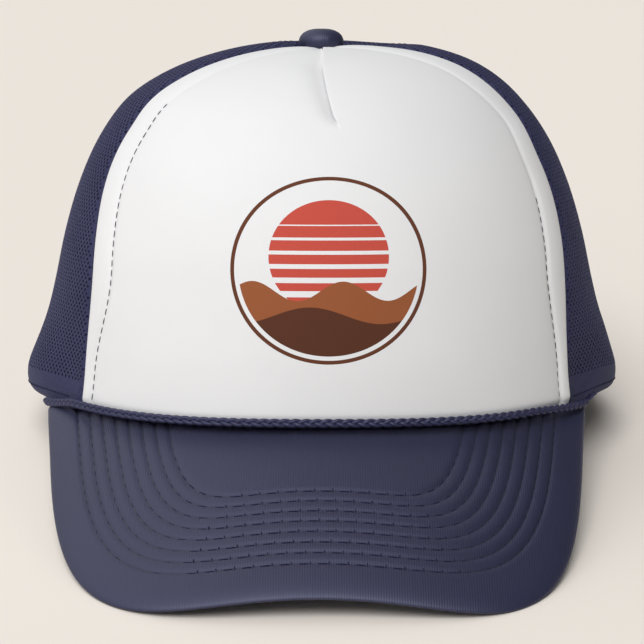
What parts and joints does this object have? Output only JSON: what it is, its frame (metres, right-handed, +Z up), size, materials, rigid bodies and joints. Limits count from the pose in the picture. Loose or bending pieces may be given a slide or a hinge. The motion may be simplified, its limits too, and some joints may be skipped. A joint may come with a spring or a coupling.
{
  "type": "trucker hat",
  "caption": "Trucker hat with a plain foam-backed front, net sides and back, a curved stitched peak, a braid over the peak seam and a closed strap across the back opening.",
  "frame": {"origin": "middle of the bounding box, on the table that the hat stands on", "axes": "+Z up; the peak points along -Y; the wearer's left is at +X"},
  "size_m": [0.1966, 0.2612, 0.1318],
  "materials": {
    "foam_cloth": "smooth white cloth bonded to thin foam",
    "net": "navy polyester net with small oval holes",
    "navy_cotton": "navy cotton twill",
    "braid_cord": "navy plaited cord with a slight sheen",
    "band_cotton": "navy cotton band",
    "strap_plastic": "moulded navy plastic"
  },
  "bodies": {
    "root": {"front_panel": "foam_cloth", "side_mesh_right": "net", "side_mesh_left": "net", "back_mesh_right": "net", "back_mesh_left": "net", "arch_binding": "navy_cotton", "peak": "navy_cotton", "peak_braid": "braid_cord", "top_button": "navy_cotton", "sweatband": "band_cotton", "snap_strap": "strap_plastic"}
  },
  "joints": []
}
